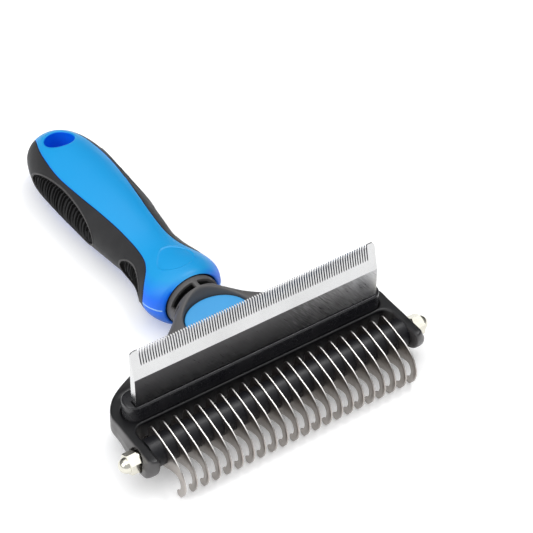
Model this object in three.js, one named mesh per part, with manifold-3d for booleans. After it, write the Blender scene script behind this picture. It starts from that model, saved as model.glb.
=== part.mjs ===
// Two-sided grooming comb: a row of hooked rake blades in front, a toothed
// deshedding blade standing above them, and a two-shell handle behind.
// Millimetres. X runs along the rake rod, Y from the rake to the butt of the
// handle, Z up. The comb lies on its hook tips and on the belly of the handle.
import * as THREE from 'three';
import Module from 'manifold-3d';
import { mergeVertices } from 'three/addons/utils/BufferGeometryUtils.js';
import { ParametricGeometry } from 'three/addons/geometries/ParametricGeometry.js';

const wasm = await Module();
wasm.setup();

// ---------------------------------------------------------------- sizes
// Most sizes are measured from the rod's axis, which is y = 0, z = 0.
const ROD_HEIGHT = 12.5; // rod axis above the surface that the comb lies on
const RAKE_FRONT = -15.6; // foremost point of the rake blades
const BUTT_END = 164.6; // rearmost point of the handle
const GAP = 0.3; // clearance between neighbouring pieces
const REACH = 200; // longer than anything that is cut

const RAKE_COUNT = 22;
const RAKE_PITCH = 4.5;
const RAKE_THICKNESS = 0.8;
const STACK_GAP = 0.05; // between a rake blade and its spacer
const ROD_RADIUS = 2.5;
const ROD_HALF_LENGTH = 60.3;
const ROD_BORE = ROD_RADIUS + GAP;
const SPACER_RADIUS = 5.3;
const END_SPACER_RADIUS = 6.2;
const END_HUB_RADIUS = 5;
const END_HUB_LENGTH = 0.8;

const LUG_INNER = 49.5; // inner face of each lug
const LUG_OUTER = 55.4; // top edge of each arm's outer wall
const WALL_LEAN = 0.2; // how fast the outer walls spread towards the bottom
const LEANS_FROM = 20; // the walls lean fully from here back
const NUT_SEAT = 54.6; // floor of the recess that the nut sits in
const NUT_SEAT_RADIUS = 6;
const NUT_FLATS = 8;
const NUT_HEX_LENGTH = 3.7;
const NUT_DOME_RADIUS = 3.6;
const NUT_END = 63.1;

const YOKE_TOP = 5.3;
const YOKE_BOTTOM = -5.5;
const YOKE_NOSE = -9.2; // front of the lugs
const BAR_FRONT = 9.2; // front wall of the crossbar
const BAR_REAR = 22.5; // the hollow for the latch begins here

const HOLDER_HALF_LENGTH = 51.8;
const HOLDER_FRONT = 10.5;
const HOLDER_REAR = 19.9;
const HOLDER_TOP = 11;
const HOLDER_BOTTOM = 0;

const BLADE_HALF_LENGTH = 49;
const BLADE_FRONT = 11.5;
const BLADE_BACK = 14.4;
const BLADE_BOTTOM = 2.8;
const BEVEL_START = 22.9;
const BLADE_TOP = 33.7;
const EDGE_THICKNESS = 0.5;
const SLOT_COUNT = 92;
const SLOT_PITCH = 1;
const SLOT_WIDTH = 0.45;
const SLOT_DEPTH = 6.3;

const NECK_RADIUS = 10.4;
const NECK_BORE = 8.2;
const NECK_END = 56;
const TANG_RADIUS = 7.4;
const TANG_BORE = 5.4;
const TANG_END = 72;
const WINDOW_FRONT = 50;
const WINDOW_REAR = 53.3;

const BUTTON_CENTRE = 37.6;
const BUTTON_HALF_WIDTH = 13;
const BUTTON_HALF_LENGTH = 10;
const BUTTON_TOP = 6;
const BUTTON_BOTTOM = 2;
const FLANGE_TOP = 3;
const FLANGE_WIDTH = 1.2;
const HOLLOW_TOP = FLANGE_TOP + GAP;
const LATCH_TOP = BUTTON_BOTTOM - 0.1;
const LATCH_BOTTOM = 0.6;
const TOOTH_TOP = 8.9;
const TOOTH_FRONT = 66.3;
const TOOTH_REAR = 68.7;
const COVER_TOP = -3.8;
const COVER_FRONT = BAR_REAR - 2;
const COVER_REAR = 46.5;
const SPRING_RADIUS = 3.6;
const SPRING_WIRE = 0.35;
const SPRING_TURNS = 4;

const HANDLE_FRONT = 55.3;
const COLLAR_SEAT = NECK_END + GAP; // floor of the counterbore round the neck
const GRIP_THICKNESS = 2;
const SHELL_WALL = 2.3;
const END_ROUNDS_FROM = 120; // the handle closes towards its butt from here
const HANG_HOLE_CENTRE = 150;
const HANG_HOLE_RADIUS = 5.5;

// ------------------------------------------------------------ materials
const material = (color, roughness, metalness) =>
  new THREE.MeshStandardMaterial({ color, roughness, metalness });
const glossBlack = () => material(0x17181b, 0.28, 0);
const neckBlack = () => material(0x3d3e41, 0.5, 0);
const handleBlue = () => material(0x2ca0ee, 0.35, 0);
const buttonBlue = () => material(0x4bb0f5, 0.4, 0);
const gripRubber = () => material(0x323234, 0.85, 0);
const satinSteel = () => material(0xc9c9c6, 0.35, 1);
const brightNickel = () => material(0xdcd8cc, 0.18, 1);

// ------------------------------------------------------- solid modelling
// A closed geometry as a solid that can be joined and cut.
function toSolid(geometry) {
  const bare = geometry.index ? geometry.toNonIndexed() : geometry.clone();
  bare.deleteAttribute('normal');
  bare.deleteAttribute('uv');
  const merged = mergeVertices(bare, 1e-4);
  const corners = merged.index.array;
  const triVerts = [];
  for (let i = 0; i < corners.length; i += 3) {
    const [a, b, c] = corners.slice(i, i + 3);
    if (a !== b && b !== c && c !== a) {
      triVerts.push(a, b, c);
    }
  }
  return new wasm.Manifold(new wasm.Mesh({
    numProp: 3,
    vertProperties: new Float32Array(merged.attributes.position.array),
    triVerts: new Uint32Array(triVerts),
  }));
}

function toGeometry(solid) {
  const mesh = solid.getMesh();
  const geometry = new THREE.BufferGeometry();
  geometry.setAttribute('position', new THREE.BufferAttribute(mesh.vertProperties, 3));
  geometry.setIndex(new THREE.BufferAttribute(mesh.triVerts, 1));
  return geometry;
}

function piece(name, shape, look) {
  const geometry = shape.isBufferGeometry ? shape : toGeometry(shape);
  const mesh = new THREE.Mesh(geometry, look);
  mesh.name = name;
  return mesh;
}

// Turns a shape drawn in (y, z) so that it is extruded along X, centred on x = 0.
function extrudeAlongX(shape, width, steps = 8) {
  const geometry = new THREE.ExtrudeGeometry(shape, {
    depth: width,
    bevelEnabled: false,
    curveSegments: steps,
  });
  geometry.translate(0, 0, -width / 2);
  return geometry.applyMatrix4(new THREE.Matrix4().makeBasis(
    new THREE.Vector3(0, 1, 0),
    new THREE.Vector3(0, 0, 1),
    new THREE.Vector3(1, 0, 0),
  ));
}

// Extrudes a shape drawn in (x, y) from one height to another.
function extrudeUp(shape, bottom, top, steps = 8) {
  const geometry = new THREE.ExtrudeGeometry(shape, {
    depth: top - bottom,
    bevelEnabled: false,
    curveSegments: steps,
  });
  return geometry.translate(0, 0, bottom);
}

function box(x0, x1, y0, y1, z0, z1) {
  const geometry = new THREE.BoxGeometry(x1 - x0, y1 - y0, z1 - z0);
  return geometry.translate((x0 + x1) / 2, (y0 + y1) / 2, (z0 + z1) / 2);
}

function cylinderY(radius, y0, y1, sides = 32) {
  return new THREE.CylinderGeometry(radius, radius, y1 - y0, sides).translate(0, (y0 + y1) / 2, 0);
}

function cylinderX(radius, x0, x1, sides = 20) {
  const geometry = new THREE.CylinderGeometry(radius, radius, x1 - x0, sides);
  return geometry.rotateZ(-Math.PI / 2).translate((x0 + x1) / 2, 0, 0);
}

function ellipse(halfWidth, halfLength, centreX, centreY) {
  const shape = new THREE.Shape();
  shape.absellipse(centreX, centreY, halfWidth, halfLength, 0, Math.PI * 2);
  return shape;
}

function roundedRectangle(x0, x1, y0, y1, radius) {
  const shape = new THREE.Shape();
  shape.moveTo(x0 + radius, y0);
  shape.lineTo(x1 - radius, y0);
  shape.absarc(x1 - radius, y0 + radius, radius, -Math.PI / 2, 0);
  shape.absarc(x1 - radius, y1 - radius, radius, 0, Math.PI / 2);
  shape.absarc(x0 + radius, y1 - radius, radius, Math.PI / 2, Math.PI);
  shape.absarc(x0 + radius, y0 + radius, radius, Math.PI, Math.PI * 1.5);
  return shape;
}

// A closed body strung along Y. Each point of the curve is one section:
// x is its half-width, z its half-height, y its station. squareness 2 is an
// ellipse and larger values are squarer; lift moves the section's centre.
function loftAlongY(curve, rows, sides, squareness = () => 2, lift = () => 0) {
  const last = rows + 2;
  const power = (value, exponent) => Math.sign(value) * Math.abs(value) ** exponent;
  const surface = (u, v, target) => {
    const row = Math.round(v * last);
    const section = curve.getPoint(THREE.MathUtils.clamp((row - 1) / rows, 0, 1));
    const onAxis = row === 0 || row === last ? 0 : 1;
    const angle = -(u % 1) * Math.PI * 2;
    const exponent = 2 / squareness(section.y);
    target.set(
      onAxis * section.x * power(Math.cos(angle), exponent),
      section.y,
      onAxis * section.z * power(Math.sin(angle), exponent) + lift(section.y),
    );
  };
  return new ParametricGeometry(surface, sides, last);
}

// ------------------------------------------------------------- the rake
// One hooked blade in (y, z): tail, top edge, arm, ball tip, crescent, belly.
function rakeBladeShape() {
  const shape = new THREE.Shape();
  shape.moveTo(6.9, 2.6);
  shape.quadraticCurveTo(6.4, 6.5, 4.4, 6.5);
  shape.splineThru([
    new THREE.Vector2(0.9, 6.1),
    new THREE.Vector2(-4.3, 4.9),
    new THREE.Vector2(-9.3, 3.5),
    new THREE.Vector2(-13.4, 0.6),
    new THREE.Vector2(RAKE_FRONT, -4.2),
    new THREE.Vector2(-15, -8.6),
    new THREE.Vector2(-12.9, -11.9),
  ]);
  shape.absarc(-11.6, -11.1, 1.4, Math.PI * 1.2, Math.PI * 2.35);
  shape.splineThru([
    new THREE.Vector2(-12.2, -8.6),
    new THREE.Vector2(-12.7, -5.9),
    new THREE.Vector2(-11.2, -3.5),
    new THREE.Vector2(-7.8, -3.9),
    new THREE.Vector2(-3.9, -5.6),
    new THREE.Vector2(0.2, -7.1),
  ]);
  shape.lineTo(4.6, -6.6);
  shape.lineTo(8, -5);
  shape.lineTo(11, -5);
  shape.lineTo(11, -2.4);
  shape.lineTo(7.4, -2.4);
  shape.closePath();
  shape.holes.push(polygonHole(ROD_BORE, 10));
  return shape;
}

// A hole with flat sides that a shaft of the given radius just fits through.
function polygonHole(radius, sides) {
  const corner = radius / Math.cos(Math.PI / sides);
  const points = [];
  for (let i = 0; i < sides; i += 1) {
    const angle = -(i / sides) * Math.PI * 2;
    points.push(new THREE.Vector2(corner * Math.cos(angle), corner * Math.sin(angle)));
  }
  return new THREE.Path(points);
}

function rakeBladePosition(index) {
  return (index - (RAKE_COUNT - 1) / 2) * RAKE_PITCH;
}

// A tube round the rod, lathed about its own axis.
function spacer(radius, length) {
  const half = length / 2;
  const profile = [
    new THREE.Vector2(ROD_BORE, -half),
    new THREE.Vector2(radius, -half),
    new THREE.Vector2(radius, half),
    new THREE.Vector2(ROD_BORE, half),
    new THREE.Vector2(ROD_BORE, -half),
  ];
  return new THREE.LatheGeometry(profile, 12).rotateZ(-Math.PI / 2);
}

// A stepped ring on +X: its wide end meets the last blade, its hub the lug.
function endSpacer(length) {
  const step = length - END_HUB_LENGTH;
  const profile = [
    new THREE.Vector2(ROD_BORE, 0),
    new THREE.Vector2(END_SPACER_RADIUS, 0),
    new THREE.Vector2(END_SPACER_RADIUS, step),
    new THREE.Vector2(END_HUB_RADIUS, step),
    new THREE.Vector2(END_HUB_RADIUS, length),
    new THREE.Vector2(ROD_BORE, length),
    new THREE.Vector2(ROD_BORE, 0),
  ];
  return new THREE.LatheGeometry(profile, 12).rotateZ(-Math.PI / 2);
}

function label(index) {
  return String(index + 1).padStart(2, '0');
}

function rake() {
  const group = new THREE.Group();
  group.add(piece('rake_rod', cylinderX(ROD_RADIUS, -ROD_HALF_LENGTH, ROD_HALF_LENGTH, 12), satinSteel()));
  const bladeGeometry = extrudeAlongX(rakeBladeShape(), RAKE_THICKNESS, 2);
  const spacerLength = RAKE_PITCH - RAKE_THICKNESS - 2 * STACK_GAP;
  const spacerGeometry = spacer(SPACER_RADIUS, spacerLength);
  for (let i = 0; i < RAKE_COUNT; i += 1) {
    const blade = piece(`rake_blade_${label(i)}`, bladeGeometry, satinSteel());
    blade.position.x = rakeBladePosition(i);
    group.add(blade);
  }
  for (let i = 0; i < RAKE_COUNT - 1; i += 1) {
    const ring = piece(`spacer_${label(i)}`, spacerGeometry, glossBlack());
    ring.position.x = rakeBladePosition(i) + RAKE_PITCH / 2;
    group.add(ring);
  }
  const stackEnd = rakeBladePosition(RAKE_COUNT - 1) + RAKE_THICKNESS / 2 + STACK_GAP;
  for (const [side, name] of [[-1, 'left'], [1, 'right']]) {
    const ring = piece(`${name}_end_spacer`, endSpacer(LUG_INNER - STACK_GAP - stackEnd), glossBlack());
    ring.position.x = side * stackEnd;
    ring.rotation.z = side < 0 ? Math.PI : 0;
    group.add(ring);
    const nut = piece(`${name}_acorn_nut`, acornNut(), brightNickel());
    nut.rotation.z = side < 0 ? Math.PI : 0;
    group.add(nut);
  }
  return group;
}

// A domed nut on +X: hexagon, dome, and a blind bore from its seat.
function acornNut() {
  const seat = NUT_SEAT + GAP;
  const hexEnd = seat + NUT_HEX_LENGTH;
  const hexRadius = NUT_FLATS / Math.sqrt(3);
  const hexagon = toSolid(cylinderX(hexRadius, seat, hexEnd, 6));
  const domeBase = NUT_END - NUT_DOME_RADIUS;
  const profile = [new THREE.Vector2(0, hexEnd - 1), new THREE.Vector2(NUT_DOME_RADIUS, hexEnd - 1)];
  const domeSteps = 4;
  for (let i = 0; i <= domeSteps; i += 1) {
    const angle = (i / domeSteps) * Math.PI / 2;
    profile.push(new THREE.Vector2(
      i === domeSteps ? 0 : NUT_DOME_RADIUS * Math.cos(angle),
      domeBase + NUT_DOME_RADIUS * Math.sin(angle),
    ));
  }
  const dome = toSolid(new THREE.LatheGeometry(profile, 12).rotateZ(-Math.PI / 2));
  const bore = toSolid(cylinderX(ROD_BORE, seat - 1, ROD_HALF_LENGTH + GAP, 12));
  return hexagon.add(dome).subtract(bore);
}

// -------------------------------------------------- the deshedding blade
function bladeOutline() {
  const corner = 1.6;
  const shape = new THREE.Shape();
  shape.moveTo(-BLADE_HALF_LENGTH, BLADE_BOTTOM);
  shape.lineTo(BLADE_HALF_LENGTH, BLADE_BOTTOM);
  shape.lineTo(BLADE_HALF_LENGTH, BLADE_TOP - corner);
  shape.absarc(BLADE_HALF_LENGTH - corner, BLADE_TOP - corner, corner, 0, Math.PI / 2);
  for (let i = SLOT_COUNT - 1; i >= 0; i -= 1) {
    const centre = (i - (SLOT_COUNT - 1) / 2) * SLOT_PITCH;
    shape.lineTo(centre + SLOT_WIDTH / 2, BLADE_TOP);
    shape.lineTo(centre + SLOT_WIDTH / 3, BLADE_TOP - SLOT_DEPTH);
    shape.lineTo(centre - SLOT_WIDTH / 3, BLADE_TOP - SLOT_DEPTH);
    shape.lineTo(centre - SLOT_WIDTH / 2, BLADE_TOP);
  }
  shape.absarc(-BLADE_HALF_LENGTH + corner, BLADE_TOP - corner, corner, Math.PI / 2, Math.PI);
  shape.closePath();
  return shape;
}

// The side view of the blade: an upright back, and a front that is ground away
// above the bevel line.
function bladeSection() {
  const shape = new THREE.Shape();
  shape.moveTo(BLADE_FRONT, BLADE_BOTTOM - 1);
  shape.lineTo(BLADE_BACK, BLADE_BOTTOM - 1);
  shape.lineTo(BLADE_BACK, BLADE_TOP + 1);
  shape.lineTo(BLADE_BACK - EDGE_THICKNESS, BLADE_TOP + 1);
  shape.lineTo(BLADE_BACK - EDGE_THICKNESS, BLADE_TOP);
  shape.lineTo(BLADE_FRONT, BEVEL_START);
  shape.closePath();
  return shape;
}

function desheddingBlade() {
  const outline = new THREE.ExtrudeGeometry(bladeOutline(), {
    depth: BLADE_BACK - BLADE_FRONT + 2,
    bevelEnabled: false,
    curveSegments: 4,
  });
  outline.rotateX(Math.PI / 2).translate(0, BLADE_BACK + 1, 0);
  const section = toSolid(extrudeAlongX(bladeSection(), REACH));
  return piece('deshedding_blade', toSolid(outline).intersect(section), satinSteel());
}

// A rounded bar along X with an upright slot that the blade is pressed into.
function bladeHolder() {
  const outline = roundedRectangle(
    -HOLDER_HALF_LENGTH,
    HOLDER_HALF_LENGTH,
    HOLDER_FRONT,
    HOLDER_REAR,
    4.4,
  );
  const shoulder = 1.2;
  const rounded = new THREE.ExtrudeGeometry(outline, {
    depth: HOLDER_TOP - HOLDER_BOTTOM - 2 * shoulder,
    bevelThickness: shoulder,
    bevelSize: shoulder * 0.6,
    bevelOffset: -shoulder * 0.6,
    bevelSegments: 1,
    curveSegments: 4,
  }).translate(0, 0, HOLDER_BOTTOM + shoulder);
  const slot = box(
    -BLADE_HALF_LENGTH - GAP,
    BLADE_HALF_LENGTH + GAP,
    BLADE_FRONT - GAP,
    BLADE_BACK + GAP,
    BLADE_BOTTOM - GAP,
    REACH,
  );
  return piece('blade_holder', toSolid(rounded).subtract(toSolid(slot)), glossBlack());
}

// ------------------------------------------------------------- the head
// Half of the yoke's outline, from the front of the right lug to the rear.
const YOKE_REAR_CURVE = [
  new THREE.Vector2(LUG_OUTER, 17.4),
  new THREE.Vector2(53.8, 21.2),
  new THREE.Vector2(49.9, 25.5),
  new THREE.Vector2(41.2, 30.3),
  new THREE.Vector2(30, 34),
];

function mirrored(points) {
  return points.map((point) => new THREE.Vector2(-point.x, point.y)).reverse();
}

function yokeShape() {
  const noseRadius = 4.4;
  const innerRadius = 4;
  const shape = new THREE.Shape();
  shape.moveTo(LUG_INNER, YOKE_NOSE);
  shape.lineTo(LUG_OUTER - noseRadius, YOKE_NOSE);
  shape.absarc(LUG_OUTER - noseRadius, YOKE_NOSE + noseRadius, noseRadius, -Math.PI / 2, 0);
  shape.lineTo(LUG_OUTER, 13);
  shape.splineThru(YOKE_REAR_CURVE);
  shape.lineTo(-30, 34);
  shape.splineThru(mirrored(YOKE_REAR_CURVE).slice(1));
  shape.lineTo(-LUG_OUTER, 13);
  shape.lineTo(-LUG_OUTER, YOKE_NOSE + noseRadius);
  shape.absarc(-LUG_OUTER + noseRadius, YOKE_NOSE + noseRadius, noseRadius, Math.PI, Math.PI * 1.5);
  shape.lineTo(-LUG_INNER, YOKE_NOSE);
  shape.lineTo(-LUG_INNER, BAR_FRONT - innerRadius);
  shape.absarc(-LUG_INNER + innerRadius, BAR_FRONT - innerRadius, innerRadius, Math.PI, Math.PI / 2, true);
  shape.lineTo(LUG_INNER - innerRadius, BAR_FRONT);
  shape.absarc(LUG_INNER - innerRadius, BAR_FRONT - innerRadius, innerRadius, Math.PI / 2, 0, true);
  shape.closePath();
  return shape;
}

// The side view that rounds the front of the lugs.
function lugSection() {
  const shape = new THREE.Shape();
  shape.moveTo(REACH, YOKE_BOTTOM);
  shape.lineTo(REACH, YOKE_TOP);
  shape.lineTo(YOKE_NOSE + 3, YOKE_TOP);
  shape.quadraticCurveTo(YOKE_NOSE, YOKE_TOP, YOKE_NOSE, 2);
  shape.quadraticCurveTo(YOKE_NOSE + 1, YOKE_BOTTOM + 1, YOKE_NOSE + 8, YOKE_BOTTOM);
  shape.closePath();
  return shape;
}

// Spreads the outer walls so that the frame is wider at its bottom than its
// top; the walls straighten towards the lugs.
function leanOutward(geometry) {
  const position = geometry.attributes.position;
  for (let i = 0; i < position.count; i += 1) {
    const x = position.getX(i);
    const below = YOKE_TOP - position.getZ(i);
    const spread = THREE.MathUtils.smoothstep(position.getY(i), YOKE_NOSE, LEANS_FROM);
    if (Math.abs(x) > LUG_INNER + 1) {
      position.setX(i, x + Math.sign(x) * below * spread * WALL_LEAN);
    }
  }
  return geometry;
}

function yokeBody() {
  const edge = 0.8;
  const slab = new THREE.ExtrudeGeometry(yokeShape(), {
    depth: YOKE_TOP - YOKE_BOTTOM - 2 * edge,
    bevelThickness: edge,
    bevelSize: edge,
    bevelOffset: -edge,
    bevelSegments: 1,
    curveSegments: 3,
  }).translate(0, 0, YOKE_BOTTOM + edge);
  return toSolid(leanOutward(slab)).intersect(toSolid(extrudeAlongX(lugSection(), REACH, 6)));
}

// The trumpet from the round neck to the flat yoke.
const NECK_SECTIONS = new THREE.CatmullRomCurve3([
  new THREE.Vector3(47, 25, 5.6),
  new THREE.Vector3(38, 30, 6.3),
  new THREE.Vector3(27, 35, 6.6),
  new THREE.Vector3(20.4, 40, 6.9),
  new THREE.Vector3(16.3, 43.5, 7.5),
  new THREE.Vector3(12.8, 47, 8.9),
  new THREE.Vector3(10.7, 50, 10.1),
  new THREE.Vector3(NECK_RADIUS, 53, NECK_RADIUS),
  new THREE.Vector3(NECK_RADIUS, NECK_END, NECK_RADIUS),
]);
const ROUND_FROM = 50;
const FLAT_UNTIL = 34;

function flatness(y) {
  return THREE.MathUtils.clamp((ROUND_FROM - y) / (ROUND_FROM - FLAT_UNTIL), 0, 1);
}

function neckBody() {
  const squareness = (y) => 2 + 5 * flatness(y);
  const yokeMiddle = (YOKE_TOP + YOKE_BOTTOM) / 2;
  return toSolid(loftAlongY(NECK_SECTIONS, 10, 28, squareness, (y) => 0.4 * yokeMiddle * flatness(y)));
}

// A wedge-shaped cutter through the neck wall between two angles about Y.
function windowCutter(fromDegrees, toDegrees, y0, y1) {
  const shape = new THREE.Shape();
  const from = THREE.MathUtils.degToRad(fromDegrees);
  const to = THREE.MathUtils.degToRad(toDegrees);
  const outside = NECK_RADIUS + 4;
  const inside = NECK_BORE - 1;
  shape.moveTo(inside * Math.cos(from), inside * Math.sin(from));
  shape.absarc(0, 0, outside, from, to);
  shape.absarc(0, 0, inside, to, from, true);
  shape.closePath();
  const geometry = new THREE.ExtrudeGeometry(shape, {
    depth: y1 - y0,
    bevelEnabled: false,
    curveSegments: 3,
  });
  return toSolid(geometry.rotateX(Math.PI / 2).translate(0, y1, 0));
}

// The hollow behind the crossbar, open at the bottom for the cover.
function hollowShape(inset) {
  const right = [
    [40, COVER_FRONT + inset],
    [40, 25.6 - inset],
    [19.4, 35.4 - inset],
    [11, COVER_REAR - inset],
  ].map(([x, y]) => new THREE.Vector2(x - inset, y));
  return new THREE.Shape([...right, ...mirrored(right)]);
}

function headFrame() {
  let frame = yokeBody().add(neckBody());
  frame = frame.add(toSolid(cylinderY(TANG_RADIUS, NECK_END - 4, TANG_END, 20)));

  // the hollow, the button's well, and the passage through neck and tang
  const pocketEdge = 2;
  frame = frame.subtract(toSolid(extrudeUp(hollowShape(pocketEdge), YOKE_BOTTOM - 5, HOLLOW_TOP)));
  frame = frame.subtract(toSolid(extrudeUp(hollowShape(0), YOKE_BOTTOM - 5, COVER_TOP + GAP)));
  const well = ellipse(
    BUTTON_HALF_WIDTH + FLANGE_WIDTH + GAP,
    BUTTON_HALF_LENGTH + FLANGE_WIDTH + GAP,
    0,
    BUTTON_CENTRE,
  );
  frame = frame.subtract(toSolid(extrudeUp(well, COVER_TOP, HOLLOW_TOP, 8)));
  const opening = ellipse(BUTTON_HALF_WIDTH + GAP, BUTTON_HALF_LENGTH + GAP, 0, BUTTON_CENTRE);
  frame = frame.subtract(toSolid(extrudeUp(opening, COVER_TOP, REACH, 12)));
  frame = frame.subtract(toSolid(box(-5, 5, 42, 52, -3, HOLLOW_TOP)));
  frame = frame.subtract(toSolid(cylinderY(NECK_BORE, 49.2, NECK_END - 1.8, 20)));
  frame = frame.subtract(toSolid(cylinderY(TANG_BORE, 52, TANG_END + 5, 16)));
  frame = frame.subtract(toSolid(box(-2.6, 2.6, TOOTH_FRONT - 0.5, TOOTH_REAR + 0.5, 3, TANG_RADIUS + 2)));

  // two windows a side above the parting plane and two below
  for (const [from, to] of [[12, 85], [95, 168], [192, 265], [275, 348]]) {
    frame = frame.subtract(windowCutter(from, to, WINDOW_FRONT, WINDOW_REAR));
  }

  // pocket for the holder, comb slots for the blade tails, rod bores and nut seats
  const pocket = roundedRectangle(
    -HOLDER_HALF_LENGTH - GAP,
    HOLDER_HALF_LENGTH + GAP,
    HOLDER_FRONT - GAP,
    HOLDER_REAR + GAP,
    4.7,
  );
  frame = frame.subtract(toSolid(extrudeUp(pocket, HOLDER_BOTTOM - GAP, REACH, 6)));
  for (let i = 0; i < RAKE_COUNT; i += 1) {
    const centre = rakeBladePosition(i);
    const half = RAKE_THICKNESS / 2 + GAP;
    frame = frame.subtract(toSolid(box(centre - half, centre + half, BAR_FRONT - 2, 11.4, -5.4, -2)));
  }
  frame = frame.subtract(toSolid(cylinderX(ROD_BORE, -REACH, REACH, 12)));
  for (const side of [-1, 1]) {
    const seat = toSolid(cylinderX(NUT_SEAT_RADIUS, NUT_SEAT, REACH, 16));
    frame = frame.subtract(side < 0 ? seat.mirror([1, 0, 0]) : seat);
  }
  return piece('head_frame', frame, glossBlack());
}

// A plate that closes the hollow from below, with a post for the spring.
function backCover() {
  const plate = toSolid(extrudeUp(hollowShape(GAP), YOKE_BOTTOM + 0.1, COVER_TOP));
  const post = new THREE.CylinderGeometry(2.4, 2.4, 3, 16);
  post.rotateX(Math.PI / 2).translate(0, BUTTON_CENTRE, COVER_TOP + 1);
  return piece('head_back_cover', plate.add(toSolid(post)), glossBlack());
}

// ----------------------------------------------------- button and latch
function releaseButton() {
  const edge = 0.5;
  const cap = new THREE.ExtrudeGeometry(
    ellipse(BUTTON_HALF_WIDTH, BUTTON_HALF_LENGTH, 0, BUTTON_CENTRE),
    {
      depth: BUTTON_TOP - BUTTON_BOTTOM - edge,
      bevelThickness: edge,
      bevelSize: edge,
      bevelOffset: -edge,
      bevelSegments: 1,
      curveSegments: 12,
    },
  ).translate(0, 0, BUTTON_BOTTOM);
  const flange = extrudeUp(
    ellipse(BUTTON_HALF_WIDTH + FLANGE_WIDTH, BUTTON_HALF_LENGTH + FLANGE_WIDTH, 0, BUTTON_CENTRE),
    BUTTON_BOTTOM,
    FLANGE_TOP,
    8,
  );
  const above = toSolid(box(-REACH, REACH, -REACH, REACH, BUTTON_BOTTOM, REACH));
  return piece('release_button', toSolid(cap).intersect(above).add(toSolid(flange)), buttonBlue());
}

// A flat arm under the button, whose tooth stands up through the tang.
function latchArm() {
  const arm = toSolid(box(-4, 4, BUTTON_CENTRE - 6, TOOTH_REAR, LATCH_BOTTOM, LATCH_TOP));
  const tooth = toSolid(box(-2.2, 2.2, TOOTH_FRONT, TOOTH_REAR, LATCH_BOTTOM, TOOTH_TOP));
  return piece('latch_arm', arm.add(tooth), neckBlack());
}

// A compression spring about an upright axis.
class Helix extends THREE.Curve {
  constructor(radius, bottom, top, turns) {
    super();
    Object.assign(this, { radius, bottom, top, turns });
  }

  getPoint(t, target = new THREE.Vector3()) {
    const angle = t * this.turns * Math.PI * 2;
    const height = THREE.MathUtils.lerp(this.bottom, this.top, t);
    return target.set(this.radius * Math.cos(angle), this.radius * Math.sin(angle), height);
  }
}

function buttonSpring() {
  const bottom = COVER_TOP + SPRING_WIRE + GAP;
  const top = LATCH_BOTTOM - SPRING_WIRE - GAP;
  const coil = new THREE.ExtrudeGeometry(ellipse(SPRING_WIRE, SPRING_WIRE, 0, 0), {
    steps: SPRING_TURNS * 9,
    curveSegments: 3,
    bevelEnabled: false,
    extrudePath: new Helix(SPRING_RADIUS, bottom, top, SPRING_TURNS),
  });
  const spring = piece('button_spring', coil, satinSteel());
  spring.position.y = BUTTON_CENTRE;
  return spring;
}

// ----------------------------------------------------------- the handle
// Half-width, station and half-height down the handle; margin shrinks it inward.
function handleSections(margin) {
  const sections = [
    [11.5, HANDLE_FRONT, 11],
    [13.4, 57, 11.8],
    [15.3, 61, 12],
    [15.5, 65, 11.8],
    [14.2, 71, 11.1],
    [12.4, 78, 10.3],
    [12, 85, 10.1],
    [13, 94, 10.7],
    [14.4, 107, 11.8],
    [15.4, 122, 12.4],
    [15.5, 135, 12.42],
    [14.7, 146, 11.9],
    [13, 153, 10.7],
    [10.2, 159, 8.3],
    [5.6, 163.1, 4.5],
  ];
  const thinnest = 1;
  const points = sections.map(([halfWidth, y, halfHeight]) => new THREE.Vector3(
    Math.max(halfWidth - margin, thinnest),
    y - margin * THREE.MathUtils.smoothstep(y, END_ROUNDS_FROM, BUTT_END),
    Math.max(halfHeight - margin, thinnest),
  ));
  if (margin > 0) {
    points[0].y -= 2 * margin; // inner surfaces run out through the front
  }
  points.push(new THREE.Vector3(0.2, BUTT_END - margin, 0.2));
  return new THREE.CatmullRomCurve3(points, false, 'centripetal');
}

function handleBody(margin, rows, sides) {
  return toSolid(loftAlongY(handleSections(margin), rows, sides));
}

// The skin that shows is finer than the surfaces inside.
function handleSkin(margin) {
  return handleBody(margin, 20, 24);
}

function handleInside(margin) {
  return handleBody(margin, 13, 16);
}

// Everything outside a line drawn on the handle from above, on one side.
function gripZone(side, inset) {
  const line = [
    [16.6, 62.6],
    [14.4, 64.8],
    [10, 70],
    [8, 74.5],
    [6.9, 82],
    [7.2, 93],
    [8.5, 105],
    [10, 118],
    [10.9, 131],
    [10.5, 140],
    [9, 150],
    [6.6, 157.5],
    [5, 162],
    [4, REACH],
  ];
  const shape = new THREE.Shape();
  const border = line.map(([x, y]) => new THREE.Vector2(side * (x + inset), y + (y < 75 ? inset : 0)));
  shape.moveTo(side * 40, border[0].y);
  shape.lineTo(border[0].x, border[0].y);
  shape.splineThru(border.slice(1, -1));
  shape.lineTo(border.at(-1).x, border.at(-1).y);
  shape.lineTo(side * 40, REACH);
  shape.closePath();
  return toSolid(extrudeUp(shape, -40, 40, 2));
}

// Shallow oval recess in the side of a grip, drawn in (y, z).
function gripRecess(centre, halfLength, halfHeight) {
  return toSolid(extrudeAlongX(ellipse(halfLength, halfHeight, centre, 0), REACH, 6));
}

function grip(side, name, outer, recessFloor) {
  let rubber = outer.intersect(gripZone(side, GAP)).subtract(handleInside(GRIP_THICKNESS));
  const ovals = gripRecess(124.5, 22.3, 7.4).add(gripRecess(76, 9.6, 4.9));
  rubber = rubber.subtract(ovals.subtract(recessFloor));
  return piece(name, rubber, gripRubber());
}

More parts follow.
